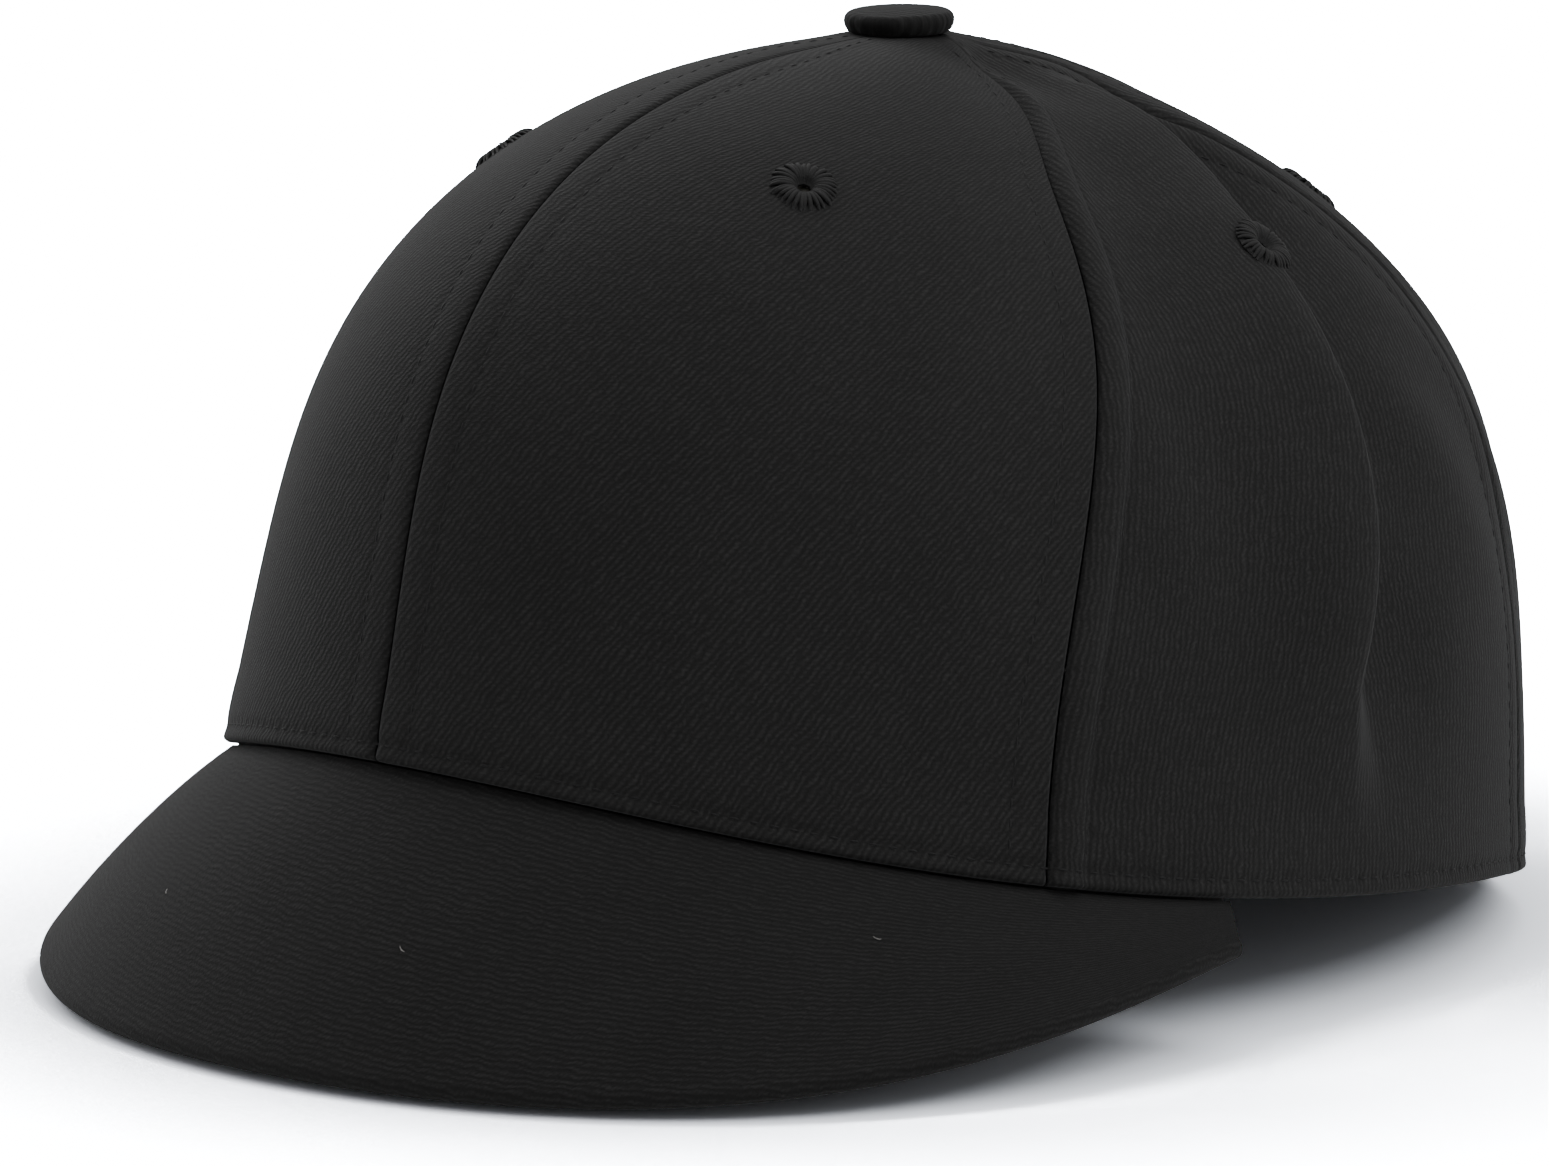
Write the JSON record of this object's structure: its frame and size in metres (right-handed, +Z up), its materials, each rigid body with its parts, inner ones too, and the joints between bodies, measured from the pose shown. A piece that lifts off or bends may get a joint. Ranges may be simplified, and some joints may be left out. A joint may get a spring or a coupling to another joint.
{
  "type": "bump cap",
  "caption": "Fabric-covered bump cap with a short peak, a rear opening with a hook-and-loop strap, and a removable hard shell and foam insert inside.",
  "frame": {"origin": "bottom centre of the bounding box, on the surface the cap stands on", "axes": "+Z up, the peak points along -Y, the wearer's left is +X"},
  "size_m": [0.1878, 0.2498, 0.1415],
  "materials": {
    "twill": "woven twill, matte",
    "buckram": "stiffened open weave, matte",
    "tape": "flat woven tape, matte",
    "sweatband": "brushed woven band, matte",
    "thread": "satin-stitched thread",
    "steel": "nickel-plated, satin",
    "board": "moulded sheet, satin",
    "binding": "folded woven tape, matte",
    "webbing": "woven twill strap, matte",
    "loop_pile": "soft looped pile",
    "hook_pile": "moulded hook field",
    "moulding": "moulded, satin",
    "abs": "moulded, satin",
    "foam": "closed-cell foam, matte",
    "pad": "soft closed-cell foam, matte"
  },
  "bodies": {
    "cap": {"front_panel_left": "twill", "front_panel_right": "twill", "side_panel_left": "twill", "side_panel_right": "twill", "rear_panel_left": "twill", "rear_panel_right": "twill", "front_buckram_left": "buckram", "front_buckram_right": "buckram", "seam_tape_front": "tape", "seam_tape_rear": "tape", "seam_tape_front_side_left": "tape", "seam_tape_front_side_right": "tape", "seam_tape_rear_side_left": "tape", "seam_tape_rear_side_right": "tape", "sweatband": "sweatband", "eyelet_front_left": "thread", "eyelet_front_right": "thread", "eyelet_side_left": "thread", "eyelet_side_right": "thread", "eyelet_rear_left": "thread", "eyelet_rear_right": "thread", "top_button": "twill", "button_rivet": "steel", "visor_top_cover": "twill", "visor_board": "board", "visor_under_cover": "twill", "rear_arch_binding": "binding", "strap_sewn": "webbing", "loop_tab": "webbing", "loop_patch": "loop_pile", "strap_loop": "moulding"},
    "strap_tail": {"strap_tail": "webbing", "hook_patch": "hook_pile"},
    "insert": {"hard_shell": "abs", "foam_liner": "foam", "crown_pad": "pad"}
  },
  "joints": [
    {"name": "strap_tail_peel", "type": "hinge", "parent": "cap", "child": "strap_tail", "pos_m": [-0.0134, 0.12314, 0.01708], "axis": [-0.0008, 0.0673, 0.9977], "range_deg": [0, 150]},
    {"name": "insert_slide", "type": "slide", "parent": "cap", "child": "insert", "axis": [0, -0.1392, -0.9903], "range_m": [0, 0.13]}
  ]
}
